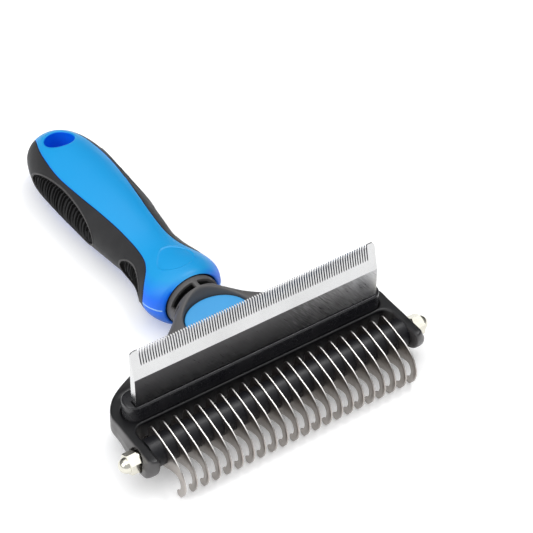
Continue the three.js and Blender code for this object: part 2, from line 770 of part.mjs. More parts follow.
// The blue body as one solid, before it is split into its two shells.
function handleShells(outer) {
  const zones = gripZone(-1, 0).add(gripZone(1, 0));
  const underGrips = handleInside(SHELL_WALL);
  let body = outer.subtract(zones).add(outer.intersect(underGrips));
  const hollow = handleInside(2 * SHELL_WALL);
  const socketRings = toSolid(cylinderY(REACH, 50, 59.5, 8)).add(toSolid(cylinderY(REACH, 64, 71, 8)));
  const sleeve = new THREE.CylinderGeometry(HANG_HOLE_RADIUS + 2.2, HANG_HOLE_RADIUS + 2.2, REACH, 16);
  const sleeveSolid = toSolid(sleeve.rotateX(Math.PI / 2).translate(0, HANG_HOLE_CENTRE, 0));
  body = body.subtract(hollow.subtract(socketRings).subtract(sleeveSolid));
  const hole = new THREE.CylinderGeometry(HANG_HOLE_RADIUS, HANG_HOLE_RADIUS, REACH, 20);
  body = body.subtract(toSolid(hole.rotateX(Math.PI / 2).translate(0, HANG_HOLE_CENTRE, 0)));
  body = body.subtract(toSolid(cylinderY(NECK_RADIUS + GAP, 40, COLLAR_SEAT, 28)));
  body = body.subtract(toSolid(cylinderY(TANG_RADIUS + GAP, 40, TANG_END + 1, 20)));
  const notchTop = TOOTH_TOP + GAP;
  return body.subtract(toSolid(box(-2.6, 2.6, TOOTH_FRONT - GAP, TOOTH_REAR + GAP, 5, notchTop)));
}

function handle() {
  const group = new THREE.Group();
  const outer = handleSkin(0);
  const recessFloor = handleSkin(0.9);
  const shells = handleShells(outer);
  const upper = toSolid(box(-REACH, REACH, -REACH, REACH, GAP / 2, REACH));
  const lower = toSolid(box(-REACH, REACH, -REACH, REACH, -REACH, -GAP / 2));
  group.add(piece('handle_upper_shell', shells.intersect(upper), handleBlue()));
  group.add(piece('handle_lower_shell', shells.intersect(lower), handleBlue()));
  group.add(grip(-1, 'left_grip', outer, recessFloor));
  group.add(grip(1, 'right_grip', outer, recessFloor));
  return group;
}

// ------------------------------------------------------------- assembly
const comb = new THREE.Group();
comb.add(rake(), desheddingBlade(), bladeHolder(), headFrame(), backCover());
comb.add(releaseButton(), latchArm(), buttonSpring(), handle());
comb.position.set(0, -(RAKE_FRONT + BUTT_END) / 2, ROD_HEIGHT);

export default comb;
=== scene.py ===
"""Looks of the two-sided grooming comb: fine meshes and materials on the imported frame.

Shapes are drawn in millimetres from the rod's axis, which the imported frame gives.
"""

import math
from itertools import product

import bmesh
import bpy
import numpy as np
from mathutils import Matrix, Vector
from mathutils.geometry import tessellate_polygon


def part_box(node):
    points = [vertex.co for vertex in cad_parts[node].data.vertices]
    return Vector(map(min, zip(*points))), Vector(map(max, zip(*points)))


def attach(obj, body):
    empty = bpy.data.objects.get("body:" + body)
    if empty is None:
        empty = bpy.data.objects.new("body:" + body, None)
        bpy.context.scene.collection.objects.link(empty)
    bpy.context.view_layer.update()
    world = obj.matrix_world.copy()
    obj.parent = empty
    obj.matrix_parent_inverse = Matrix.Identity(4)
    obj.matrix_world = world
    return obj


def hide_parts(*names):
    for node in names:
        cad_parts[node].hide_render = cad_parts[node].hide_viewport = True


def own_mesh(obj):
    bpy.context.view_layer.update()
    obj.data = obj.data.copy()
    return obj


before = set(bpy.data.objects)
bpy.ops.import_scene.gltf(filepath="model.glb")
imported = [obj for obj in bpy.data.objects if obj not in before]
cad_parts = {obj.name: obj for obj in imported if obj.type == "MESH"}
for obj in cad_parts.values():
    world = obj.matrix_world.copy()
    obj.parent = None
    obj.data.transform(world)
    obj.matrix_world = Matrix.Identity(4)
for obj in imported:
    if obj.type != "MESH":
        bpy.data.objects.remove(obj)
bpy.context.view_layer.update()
rod_low, rod_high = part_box("rake_rod")
ROD = np.array((rod_low + rod_high) / 2)
MM = 0.001

# shared sizes in mm
RAKE_BLADES, RAKE_PITCH, RAKE_THICKNESS = 22, 4.5, 0.56
ROD_BORE = 2.8
BLADE_HALF = 49
LUG_INNER, LUG_OUTER = 52.2, 55.4
FIT_GAP = 0.3


# ---- curves
def smoothstep(low, high, value):
    t = np.clip((value - low) / (high - low), 0, 1)
    return t * t * (3 - 2 * t)


def ridge(distance, width):
    """A rounded ridge, 1 high, along the line where the distance is 0."""
    return np.exp(-((distance / width) ** 2))


def off_grid(value, pitch):
    """Distance from the nearest multiple of the pitch."""
    return np.abs(value / pitch - np.round(value / pitch)) * pitch


def curve_through(points, steps=8):
    """Centripetal Catmull-Rom curve through the points."""
    p = np.asarray(points, float)
    p = np.vstack([2 * p[0] - p[1], p, 2 * p[-1] - p[-2]])
    t = np.linspace(0, 1, steps, endpoint=False)[:, None]
    parts = []
    for a, b, c, d in zip(p, p[1:], p[2:], p[3:]):
        ab, bc, cd = (math.sqrt(max(np.linalg.norm(v - u), 1e-6)) for u, v in ((a, b), (b, c), (c, d)))
        start = ((b - a) / ab - (c - a) / (ab + bc) + (c - b) / bc) * bc
        end = ((c - b) / bc - (d - b) / (bc + cd) + (d - c) / cd) * bc
        part = (2 * t**3 - 3 * t**2 + 1) * b + (t**3 - 2 * t**2 + t) * start
        parts.append(part + (3 * t**2 - 2 * t**3) * c + (t**3 - t**2) * end)
    return np.vstack([*parts, p[-2][None]])


def arc(x, y, radius, start, end, steps=8):
    angle = np.radians(np.linspace(start, end, steps + 1))
    return np.stack([x + radius * np.cos(angle), y + radius * np.sin(angle)], -1)


def bend(start, corner, end, steps=8):
    """Quadratic curve from start to end that leans towards the corner."""
    t = np.linspace(0, 1, steps + 1)[:, None]
    start, corner, end = (np.asarray(p, float) for p in (start, corner, end))
    return (1 - t) ** 2 * start + 2 * t * (1 - t) * corner + t**2 * end


def without_repeats(points):
    keep = np.linalg.norm(points - np.roll(points, 1, axis=0), axis=1) > 1e-6
    return points[keep]


def inset(outline, amount):
    """The closed outline moved inward; it runs anticlockwise."""
    along = np.roll(outline, -1, axis=0) - np.roll(outline, 1, axis=0)
    inward = np.stack([-along[:, 1], along[:, 0]], -1)
    return outline + amount * inward / np.linalg.norm(inward, axis=1, keepdims=True)


def rounded_rectangle(x0, x1, y0, y1, radius, steps=8):
    return np.vstack([
        arc(x1 - radius, y0 + radius, radius, -90, 0, steps),
        arc(x1 - radius, y1 - radius, radius, 0, 90, steps),
        arc(x0 + radius, y1 - radius, radius, 90, 180, steps),
        arc(x0 + radius, y0 + radius, radius, 180, 270, steps),
    ])


# ---- meshes
class Build:
    """Collects points and faces of one mesh, in mm from the rod's axis."""

    def __init__(self):
        self.points = []
        self.faces = []

    def add(self, points, faces):
        start = len(self.points)
        self.points.extend(np.asarray(points, float).tolist())
        self.faces.extend(tuple(start + i for i in face) for face in faces)
        return start

    def grid(self, grid, wrap=False, keep=None):
        """A sheet of points, rows by columns; wrap joins its last column to the first."""
        rows, columns = grid.shape[:2]
        faces = []
        for r in range(rows - 1):
            for c in range(columns if wrap else columns - 1):
                d = (c + 1) % columns
                face = (r * columns + c, r * columns + d, (r + 1) * columns + d, (r + 1) * columns + c)
                if keep is None or keep(face):
                    faces.append(face)
        return self.add(grid.reshape(-1, 3), faces)

    def fan(self, ring, centre):
        """Triangles from each side of a ring of points to the centre."""
        ring = np.asarray(ring)
        count = len(ring)
        self.add(np.vstack([ring, [centre]]), [(i, (i + 1) % count, count) for i in range(count)])

    def cap(self, loops, place):
        """A flat face inside the first loop and outside the others."""
        flat = [[Vector((u, v, 0)) for u, v in loop] for loop in loops]
        corners = [place(u, v) for loop in loops for u, v in loop]
        self.add(corners, tessellate_polygon(flat))

    def finish(self, name, materials, sharp=40, which=None):
        """The mesh; which(), given the faces' middles, picks each face's material."""
        mesh = bpy.data.meshes.new(name)
        mesh.from_pydata((np.array(self.points) * MM + ROD).tolist(), [], self.faces)
        for material in materials:
            mesh.materials.append(material)
        if which:
            points = np.array(self.points)
            middles = np.array([points[list(face)].mean(0) for face in self.faces])
            mesh.polygons.foreach_set("material_index", which(*middles.T).astype(int))
        tidy = bmesh.new()
        tidy.from_mesh(mesh)
        bmesh.ops.remove_doubles(tidy, verts=tidy.verts, dist=2e-6)
        bmesh.ops.recalc_face_normals(tidy, faces=tidy.faces)
        tidy.to_mesh(mesh)
        tidy.free()
        mesh.shade_smooth()
        mesh.set_sharp_from_angle(angle=math.radians(sharp))
        return mesh


def add(name, data):
    """A new object in the scene."""
    piece = bpy.data.objects.new(name, data)
    bpy.context.scene.collection.objects.link(piece)
    return piece


def show(node, mesh, body, place=None):
    """Puts a finished mesh in the scene, riding on its body in place of the CAD node."""
    piece = add(f"fine_{node}", mesh)
    if place is not None:
        piece.matrix_world = place
    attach(piece, body)
    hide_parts(node)
    return piece


def lathe_x(profile, sides=64):
    """A surface turned about the X axis; the profile's points are (x, radius)."""
    x, radius = np.asarray(profile, float).T
    angle = np.linspace(0, 2 * math.pi, sides, endpoint=False)
    along = np.repeat(x[:, None], sides, 1)
    return np.stack([along, radius[:, None] * np.cos(angle), radius[:, None] * np.sin(angle)], -1)


def normals_of(grid):
    """Unit normals of a sheet of points."""
    down = np.gradient(grid, axis=0)
    across = np.gradient(grid, axis=1)
    normal = np.cross(down, across)
    return normal / np.maximum(np.linalg.norm(normal, axis=-1, keepdims=True), 1e-9)


# ---- materials
def put(node, **values):
    """Sets constants on a node's sockets; an underscore stands for a space."""
    for socket, value in values.items():
        node.inputs[socket.replace("_", " ")].default_value = value


class Shader:
    """A node material built around one Principled shader."""

    def __init__(self, name, color, roughness, metallic=0.0, **sockets):
        self.material = bpy.data.materials.new(name)
        self.material.use_nodes = True
        tree = self.material.node_tree
        self.nodes = tree.nodes
        self.link = tree.links.new
        self.main = self.nodes["Principled BSDF"]
        put(self.main, Base_Color=(*color, 1), Roughness=roughness, Metallic=metallic, **sockets)
        self.color = color
        self.place = self.nodes.new("ShaderNodeTexCoord").outputs["Object"]
        self.normal = None

    def noise(self, scale, detail=3.0, stretch=(1, 1, 1), rough=0.5, turn=(0, 0, 0)):
        """Noise in space, scale cells per metre, drawn out by stretch along turned axes."""
        mapping = self.nodes.new("ShaderNodeMapping")
        mapping.vector_type = "TEXTURE"
        put(mapping, Rotation=turn, Scale=stretch)
        texture = self.nodes.new("ShaderNodeTexNoise")
        put(texture, Scale=scale, Detail=detail, Roughness=rough)
        self.link(self.place, mapping.inputs["Vector"])
        self.link(mapping.outputs["Vector"], texture.inputs["Vector"])
        return texture.outputs["Fac"]

    def remap(self, value, low, high, to_low, to_high):
        node = self.nodes.new("ShaderNodeMapRange")
        put(node, From_Min=low, From_Max=high, To_Min=to_low, To_Max=to_high)
        self.link(value, node.inputs["Value"])
        return node.outputs["Result"]

    def split(self, vector):
        """The outputs X, Y and Z of a vector."""
        node = self.nodes.new("ShaderNodeSeparateXYZ")
        self.link(vector, node.inputs["Vector"])
        return node.outputs

    def facing(self):
        """The direction that each spot of the surface faces, as outputs X, Y and Z."""
        return self.split(self.nodes.new("ShaderNodeNewGeometry").outputs["Normal"])

    def math(self, operation, *values):
        node = self.nodes.new("ShaderNodeMath")
        node.operation = operation
        for socket, value in zip(node.inputs, values):
            if isinstance(value, (int, float)):
                socket.default_value = value
            else:
                self.link(value, socket)
        return node.outputs[0]

    def bump(self, height, distance):
        """Relief of that many metres, on top of the bumps added before."""
        node = self.nodes.new("ShaderNodeBump")
        put(node, Strength=1, Distance=distance)
        self.link(height, node.inputs["Height"])
        if self.normal is not None:
            self.link(self.normal, node.inputs["Normal"])
        self.normal = node.outputs["Normal"]
        self.link(self.normal, self.main.inputs["Normal"])

    def vary_roughness(self, value, low, high):
        self.link(self.remap(value, 0.3, 0.7, low, high), self.main.inputs["Roughness"])

    def vary_color(self, value, *stops):
        """The base colour runs through the stops, each a position and a colour."""
        ramp = self.nodes.new("ShaderNodeValToRGB")
        line = ramp.color_ramp.elements
        while len(line) < len(stops):
            line.new(0.5)
        for point, (position, color) in zip(line, stops):
            point.position = position
            point.color = (*color, 1)
        self.link(value, ramp.inputs["Fac"])
        self.link(ramp.outputs["Color"], self.main.inputs["Base Color"])

    def mottle(self, scale, detail, spread):
        """Slow variation of the base colour about the shader's own colour."""
        dark, light = (tuple(c * (1 + side * spread) for c in self.color) for side in (-1, 1))
        self.vary_color(self.noise(scale, detail), (0.3, dark), (0.7, light))

    def edges(self):
        """A value that is high on the object's convex edges, for painted edge highlights."""
        geometry = self.nodes.new("ShaderNodeNewGeometry")
        return self.remap(geometry.outputs["Pointiness"], 0.53, 0.63, 0, 1)


def moulded_black(name, color, roughness, grain, gloss=0.5):
    """Moulded plastic, with a painted highlight that lightens its edges a little."""
    s = Shader(name, color, roughness, Specular_IOR_Level=gloss)
    s.vary_roughness(s.noise(160, 4), roughness - 0.05, roughness + 0.07)
    # painted highlight: convex edges are lightened, plus random tone
    painted_light_and_tone = s.math("ADD", s.edges(), s.remap(s.noise(90, 5), 0.3, 0.7, -0.06, 0.06))
    s.vary_color(painted_light_and_tone, (0, color), (1, tuple(c + 0.06 for c in color)))
    s.bump(s.noise(5200, 2), grain)
    s.bump(s.noise(240, 2), 0.00002)
    return s.material


def frame_plastic():
    """Polished on the crossbar and finely textured on the neck; the lugs' outer walls, which face
    sideways, and the convex edges are painted lighter as painted reflection and painted highlight.
    """
    polished, grain_and_painted_light_color = (0.004, 0.004, 0.005), (0.085, 0.082, 0.082)
    s = Shader("frame_plastic", polished, 0.3, Specular_IOR_Level=0.4)
    place = s.split(s.place)
    start = ROD[1] + 24 * MM
    neck = s.remap(place["Y"], start, start + 12 * MM, 0, 1)
    # painted reflection: walls that face sideways, at the lugs' outer ends, are painted lighter
    wall = s.remap(s.math("ABSOLUTE", s.facing()["Z"]), 0.4, 0.9, 0.9, 0)
    outer = s.remap(s.math("ABSOLUTE", place["X"]), 50 * MM, 54 * MM, 0, 1)
    grain_and_painted_light_mask = s.math("MAXIMUM", neck, s.math("MULTIPLY", wall, outer))
    # painted highlight along the convex edges
    grain_and_painted_light_mask = s.math("MAXIMUM", grain_and_painted_light_mask, s.math("MULTIPLY", s.edges(), 0.6))
    s.vary_color(grain_and_painted_light_mask, (0, polished), (1, grain_and_painted_light_color))
    uneven = s.remap(s.noise(150, 4), 0.3, 0.7, -0.04, 0.06)
    s.link(s.math("ADD", s.remap(neck, 0, 1, 0.34, 0.5), uneven), s.main.inputs["Roughness"])
    s.bump(s.noise(5200, 2), 0.000012)
    s.bump(s.noise(220, 2), 0.00002)
    return s.material


def handle_plastic():
    """Blue plastic whose colour is painted by which way the surface faces: painted shade deepens it on the
    flanks and below, lighter on top.
    """
    deep, painted_flank_blue, top = (0, 0.1, 0.45), (0, 0.145, 0.84), (0.007, 0.285, 0.63)
    s = Shader("handle_plastic", top, 0.42, Specular_IOR_Level=0.34)
    uneven = s.remap(s.noise(45, 3), 0.3, 0.7, -0.03, 0.03)
    # painted light and shade: the colour follows the surface's facing, darkest facing down
    height = s.math("ADD", s.remap(s.facing()["Z"], -1, 1, 0, 1), uneven)
    s.vary_color(height, (0.25, deep), (0.5, painted_flank_blue), (0.66, painted_flank_blue), (0.92, top))
    s.vary_roughness(s.noise(120, 4), 0.36, 0.46)
    s.bump(s.noise(4600, 3), 0.000012)
    s.bump(s.noise(130, 2), 0.00003)
    return s.material


def moulded_blue(name, color):
    s = Shader(name, color, 0.42)
    s.mottle(70, 3, 0.04)
    s.vary_roughness(s.noise(160, 4), 0.38, 0.48)
    s.bump(s.noise(5200, 2), 0.000014)
    return s.material


def grip_rubber(name, color, gloss):
    s = Shader(name, color, 0.62, Specular_IOR_Level=gloss, Sheen_Weight=gloss / 4, Sheen_Roughness=0.4)
    s.mottle(110, 4, 0.18)
    s.vary_roughness(s.noise(180, 4), 0.56, 0.7)
    s.bump(s.noise(3400, 4), 0.00003)
    return s.material


def satin_steel(name, color, roughness, stretch=(1, 1, 1), turn=(0, 0, 0)):
    """Steel with a fine grain, ground along the stretched axis."""
    s = Shader(name, color, roughness, metallic=1.0)
    grain = s.noise(2600, 3, stretch, 0.6, turn)
    s.mottle(60, 4, 0.06)
    s.vary_roughness(grain, roughness - 0.04, roughness + 0.06)
    s.bump(grain, 0.000004)
    return s.material


def flat_steel_painted_reflection():
    """The blade's unground face: dark from hardening, with a painted reflection that brightens it towards
    one end.
    """
    s = Shader("flat_steel_painted_reflection", (0.15, 0.15, 0.155), 0.3, metallic=1.0)
    grain = s.noise(2600, 3, GRIND_STRETCH, 0.6, GRIND_TURN)
    # painted reflection: brighter towards +X, plus random grain tone
    along = s.remap(s.split(s.place)["X"], -BLADE_HALF * MM, BLADE_HALF * MM, 0, 1)
    painted_light_and_tone = s.math("ADD", along, s.remap(grain, 0.3, 0.7, -0.12, 0.12))
    dark, middle, painted_reflection_bright = (0.12, 0.12, 0.125), (0.17, 0.17, 0.175), (0.5, 0.5, 0.51)
    s.vary_color(painted_light_and_tone, (0, dark), (0.65, middle), (1, painted_reflection_bright))
    s.vary_roughness(grain, 0.27, 0.37)
    s.bump(grain, 0.000014)
    return s.material


def nickel():
    s = Shader("nickel", (0.66, 0.64, 0.56), 0.14, metallic=1.0)
    s.mottle(200, 4, 0.05)
    s.vary_roughness(s.noise(500, 5), 0.1, 0.2)
    s.bump(s.noise(700, 3), 0.00001)
    return s.material


BLACK = moulded_black("black_plastic", (0.008, 0.008, 0.010), 0.26, 0.000006)
ROLLER_BLACK = moulded_black("roller_plastic", (0.005, 0.005, 0.007), 0.38, 0.000008, 0.3)
# painted shade: near-black for the inside of the collar's bore
INSIDE_PAINTED_SHADE = moulded_black("inside_painted_shade", (0.002, 0.002, 0.002), 0.6, 0.00001)
LATCH = moulded_black("latch_plastic", (0.04, 0.04, 0.042), 0.5, 0.00002)
FRAME_PLASTIC = frame_plastic()
BLUE = handle_plastic()
# painted highlight: a lighter blue along the shells' seam bead
SEAM_HIGHLIGHT_BLUE = moulded_blue("seam_painted_highlight", (0.3, 0.55, 0.85))
BUTTON_BLUE = moulded_blue("button_plastic", (0.05, 0.31, 0.64))
RUBBER = grip_rubber("grip_rubber", (0.016, 0.016, 0.017), 0.32)
# painted shade: darker, duller rubber for the floors of the grip's ovals
RUBBER_PAINTED_SHADE = grip_rubber("grip_rubber_painted_shade", (0.003, 0.003, 0.003), 0.04)
# painted highlight: lighter rubber for the ovals' raised rims
RUBBER_RIM_HIGHLIGHT = grip_rubber("grip_rubber_rim_highlight", (0.05, 0.048, 0.048), 0.45)
RAKE_STEEL = satin_steel("rake_steel", (0.42, 0.39, 0.365), 0.32)
# bright sheared edges, partly a painted highlight
EDGE_STEEL_AND_HIGHLIGHT = satin_steel("sheared_edge_painted_highlight", (0.6, 0.59, 0.575), 0.34)
GRIND_STRETCH, GRIND_TURN = (1, 1, 14), (0, math.radians(-38), 0)
BLADE_STEEL = satin_steel("blade_steel", (0.59, 0.59, 0.59), 0.2, GRIND_STRETCH, GRIND_TURN)
FLAT_STEEL = flat_steel_painted_reflection()
# painted shade: darker steel on the walls of the teeth's slots
SLOT_SHADE_STEEL = satin_steel("slot_painted_shade", (0.16, 0.16, 0.18), 0.5)
SPRING_STEEL = satin_steel("spring_steel", (0.7, 0.69, 0.66), 0.3)
NICKEL = nickel()


# ---- the rake
SPACER_RADIUS = 5.3
ROUND_EDGE = 0.12
EDGE_MIDDLE = 0.3 * ROUND_EDGE  # how far the middle of a rounded edge lies inside its corner


def rake_blade_mesh():
    """A stamped hook with a ball tip and a tail, drawn as (y, z) round x = 0."""
    top = [
        (4.4, 6.5), (0.9, 6.1), (-4.3, 4.9), (-9.3, 3.5),
        (-13.4, 0.6), (-15.6, -4.2), (-15, -8.6), (-12.9, -11.9),
    ]
    tip = arc(-11.6, -11.1, 1.4, 216, 423, 12)
    inner = [tip[-1], (-12.2, -8.6), (-12.7, -5.9), (-11.2, -3.5), (-7.8, -3.9), (-3.9, -5.6), (0.2, -7.1)]
    outline = without_repeats(np.vstack([
        bend((6.9, 2.6), (6.4, 6.5), (4.4, 6.5), 5),
        curve_through(top, 6),
        tip,
        curve_through(inner, 6),
        [(4.6, -6.6), (8, -5), (11, -5), (11, -2.4), (7.4, -2.4)],
    ]))
    hole = arc(0, 0, ROD_BORE, 360, 0, 24)[:-1]
    half = RAKE_THICKNESS / 2
    build = Build()
    rings = [(ROUND_EDGE, -half), (EDGE_MIDDLE, -half + EDGE_MIDDLE), (0, -half + ROUND_EDGE)]
    rings += [(amount, -w) for amount, w in rings[::-1]]
    sheet = [[(w, u, v) for u, v in inset(outline, amount)] for amount, w in rings]
    build.grid(np.array(sheet), wrap=True)
    wall = [[(w, u, v) for u, v in hole] for w in (-half, half)]
    build.grid(np.array(wall), wrap=True)
    for side in (-half, half):
        build.cap([inset(outline, ROUND_EDGE), hole], lambda u, v: (side, u, v))
    flat = half - ROUND_EDGE - 0.01

    def polished(x, y, z):
        """The outer edge of the hook, above the rod's middle and in front of the tail: bright sheared
        steel, partly a painted highlight on the upper edge.
        """
        return (np.abs(x) < flat) & (z > 0.5) & (y < 6)

    return build.finish("rake_blade", [RAKE_STEEL, EDGE_STEEL_AND_HIGHLIGHT], 25, polished)


def spacer_mesh(name, half):
    """A black ring on the rod with softened rims, from x = -half to x = half."""
    rim = [
        (half, ROD_BORE),
        (half, SPACER_RADIUS - ROUND_EDGE),
        (half - EDGE_MIDDLE, SPACER_RADIUS - EDGE_MIDDLE),
        (half - ROUND_EDGE, SPACER_RADIUS - 0.03),
        (0.6 * half, SPACER_RADIUS),
    ]
    build = Build()
    build.grid(lathe_x([(-x, radius) for x, radius in rim] + rim[::-1]), wrap=True)
    return build.finish(name, [ROLLER_BLACK], 35)


def place_at(mesh, node, shift=0):
    """Shows a mesh that was drawn round x = 0 at the middle of a CAD node, or shift mm beside it."""
    low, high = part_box(node)
    middle = (low.x + high.x) / 2 + shift * MM
    show(node, mesh, "comb", Matrix.Translation((middle, 0, 0)))


def nut_mesh():
    """Acorn nut that points along +X, drawn from its seat at x = 0."""
    flats, neck, dome = 7.0, 3.3, 2.9
    neck_end, hex_end, total = 1.3, 5.3, 8.15
    sides = 144
    angle = np.linspace(0, 2 * math.pi, sides, endpoint=False)
    corner = (angle + math.pi / 6) % (math.pi / 3) - math.pi / 6
    hexagon = flats / 2 / np.cos(corner)
    face = flats / 2 - 0.05
    chamfer = (hexagon - face) * math.tan(math.radians(30))
    even = np.full(sides, 1.0)
    rows = [
        (0 * even, neck * even),
        (neck_end * even, neck * even),
        (neck_end * even, face * even),
        (neck_end + chamfer, hexagon),
        (hex_end - chamfer, hexagon),
        (hex_end * even, face * even),
        (hex_end * even, (dome + 0.1) * even),
    ]
    for lift in np.linspace(0, math.pi / 2, 14)[1:-1]:
        x = total - dome + dome * math.sin(lift)
        rows.append((x * even, dome * math.cos(lift) * even))
    grid = np.array([np.stack([x, r * np.cos(angle), r * np.sin(angle)], -1) for x, r in rows])
    build = Build()
    build.grid(grid, wrap=True)
    build.fan(grid[-1], (total, 0, 0))
    build.fan(grid[0], (0, 0, 0))
    return build.finish("acorn_nut", [NICKEL], 24)


def make_rake():
    blade = rake_blade_mesh()
    for number in range(1, RAKE_BLADES + 1):
        place_at(blade, f"rake_blade_{number:02d}")
    spacer = spacer_mesh("spacer", (RAKE_PITCH - RAKE_THICKNESS) / 2 - 0.03)
    for number in range(1, RAKE_BLADES):
        place_at(spacer, f"spacer_{number:02d}")
    for side, node in ((-1, "left_end_spacer"), (1, "right_end_spacer")):
        low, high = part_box(node)
        first, last = min(abs(low.x), abs(high.x)) / MM - 0.1, LUG_INNER - 0.1
        ring = spacer_mesh(node, (last - first) / 2)
        shift = side * (first + last) / 2 - (low.x + high.x) / 2 / MM
        place_at(ring, node, shift)
    nut = nut_mesh()
    to_rod = Matrix.Translation(Vector(ROD))
    for node, angle in (("left_acorn_nut", math.pi), ("right_acorn_nut", 0)):
        low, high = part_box(node)
        seat = Matrix.Translation((high.x if angle else low.x, 0, 0))
        turn = to_rod @ Matrix.Rotation(angle, 4, "Z") @ to_rod.inverted()
        show(node, nut, "comb", seat @ turn)


# ---- blade and its holder
BLADE_FRONT, BLADE_BACK = 11.5, 14.4
BLADE_BOTTOM, BEVEL_START, BLADE_TOP = 2.8, 22.9, 33.7
EDGE_THICKNESS = 0.5


def tooth_line():
    """The blade's toothed top edge from right to left, as (x, z)."""
    count, pitch, depth, corner = 92, 1.0, 6.3, 1.6
    # half the width of a slot at each depth
    wall = [(0.4, 0), (0.29, 0.6), (0.2, depth - 0.6)]
    points = [*arc(BLADE_HALF - corner, BLADE_TOP - corner, corner, 0, 90, 8)]
    for i in reversed(range(count)):
        centre = (i - (count - 1) / 2) * pitch
        points += [(centre + half, BLADE_TOP - down) for half, down in wall]
        points.append((centre, BLADE_TOP - depth))
        points += [(centre - half, BLADE_TOP - down) for half, down in wall[::-1]]
    return np.array([*points, *arc(-BLADE_HALF + corner, BLADE_TOP - corner, corner, 90, 180, 8)])


def make_deshedding_blade():
    """The plate with its ground bevel; the slots' walls are painted dark as painted shade, and the flat
    below carries a painted reflection.
    """
    teeth = tooth_line()
    slope = (BLADE_BACK - EDGE_THICKNESS - BLADE_FRONT) / (BLADE_TOP - BEVEL_START)
    near = 0.01

    def front(z):
        return BLADE_FRONT + max(z - BEVEL_START, 0) * slope

    side, low, high = BLADE_HALF, BLADE_BOTTOM, BEVEL_START
    bevel = np.vstack([[(-side, high), (side, high)], teeth])
    flat = [(-side, low), (side, low), (side, high), (-side, high)]
    whole = np.vstack([flat[:3], teeth, flat[3:]])
    build = Build()
    build.cap([bevel], lambda x, z: (x, front(z), z))
    build.cap([flat], lambda x, z: (x, BLADE_FRONT, z))
    build.cap([whole], lambda x, z: (x, BLADE_BACK, z))
    rim = np.array([[(x, front(z), z) for x, z in whole], [(x, BLADE_BACK, z) for x, z in whole]])
    build.grid(rim, wrap=True)

    def in_slot(x, y, z):
        slotted = (np.abs(x) < 46.5) & (z > 26) & (z < BLADE_TOP - 0.4)
        on_bevel = np.abs(y - BLADE_FRONT - (z - BEVEL_START) * slope) < near
        return slotted & ~on_bevel & (y > front(BLADE_TOP) - 3) & (y < BLADE_BACK - near)

    # slot walls take the painted shade steel, the flat below the painted reflection steel
    def steel_and_painted_light_of(x, y, z):
        below = (np.abs(y - BLADE_FRONT) < near) & (z < BEVEL_START)
        return np.where(in_slot(x, y, z), 1, np.where(below, 2, 0))

    mesh = build.finish("fine_deshedding_blade", [BLADE_STEEL, SLOT_SHADE_STEEL, FLAT_STEEL], 5, steel_and_painted_light_of)
    show("deshedding_blade", mesh, "comb")


def holder_plan(grow, steps=8):
    """The holder's outline from above, grown on every side."""
    return rounded_rectangle(-51.8 - grow, 51.8 + grow, 10.5 - grow, 19.9 + grow, 4.4 + grow, steps)


def make_holder():
    """A bar with a rounded shoulder and a slot that the blade is pressed into."""
    outline = holder_plan(0, 12)
    side, front, back = BLADE_HALF + FIT_GAP, BLADE_FRONT - FIT_GAP, BLADE_BACK + FIT_GAP
    slot = [(-side, front), (-side, back), (side, back), (side, front)]
    top, slot_floor, shoulder = 11, 6, 0.75
    rows = [[(x, y, 0) for x, y in outline]]
    for angle in np.radians(np.linspace(0, 90, 7)):
        amount = shoulder * (1 - math.cos(angle))
        z = top - shoulder + shoulder * math.sin(angle)
        rows.append([(x, y, z) for x, y in inset(outline, amount)])
    build = Build()
    build.grid(np.array(rows), wrap=True)
    build.cap([inset(outline, shoulder), slot], lambda x, y: (x, y, top))
    build.cap([outline], lambda x, y: (x, y, 0))
    build.grid(np.array([[(x, y, z) for x, y in slot] for z in (slot_floor, top)]), wrap=True)
    build.cap([slot[::-1]], lambda x, y: (x, y, slot_floor))
    mesh = build.finish("fine_blade_holder", [BLACK], 35)
    show("blade_holder", mesh, "comb")


# ---- the head, as a distance field
CELL = 0.32


def polygon_distance(points, x, y):
    """Distance to a closed outline, negative inside."""
    best = np.full(x.shape, 1e9)
    inside = np.zeros(x.shape, bool)
    for (ax, ay), (bx, by) in zip(points, np.roll(points, -1, axis=0)):
        ex, ey = bx - ax, by - ay
        wx, wy = x - ax, y - ay
        t = np.clip((wx * ex + wy * ey) / (ex * ex + ey * ey), 0, 1)
        best = np.minimum(best, (wx - t * ex) ** 2 + (wy - t * ey) ** 2)
        if ey != 0:
            inside ^= ((ay > y) != (by > y)) & (wx < ex * wy / ey)
    return np.where(inside, -1, 1) * np.sqrt(best)


def within(value, middle, half):
    """Negative where the value lies no further than half from the middle."""
    return np.abs(value - middle) - half


def oval_distance(u, v, half_u, half_v, least=1e-6):
    """Distance to an oval round the origin, negative inside; least keeps it finite at the middle."""
    far = np.hypot(u / half_u, v / half_v)
    return far * (far - 1) / np.maximum(np.hypot(u / half_u**2, v / half_v**2), least)


def join(a, b, soft=0.01):
    """Either shape, the two blended where they are closer than soft."""
    step = np.maximum(soft - np.abs(a - b), 0) / soft
    return np.minimum(a, b) - step * step * soft / 4


def both(a, b, soft=0.01):
    return -join(-a, -b, soft)


def cut(a, b, soft=0.01):
    return -join(-a, b, soft)


def rounded(flat, tall, radius):
    """A prism with rounded edges from its plan distance and its height distance."""
    a, b = flat + radius, tall + radius
    return np.hypot(np.maximum(a, 0), np.maximum(b, 0)) + np.minimum(np.maximum(a, b), 0) - radius


def cells_on_surface(field):
    inside = field < 0
    count = np.zeros([n - 1 for n in field.shape], np.int8)
    spans = [(slice(0, n - 1), slice(1, n)) for n in field.shape]
    for i, j, k in product((0, 1), repeat=3):
        count += inside[spans[0][i], spans[1][j], spans[2][k]]
    return (count > 0) & (count < 8)


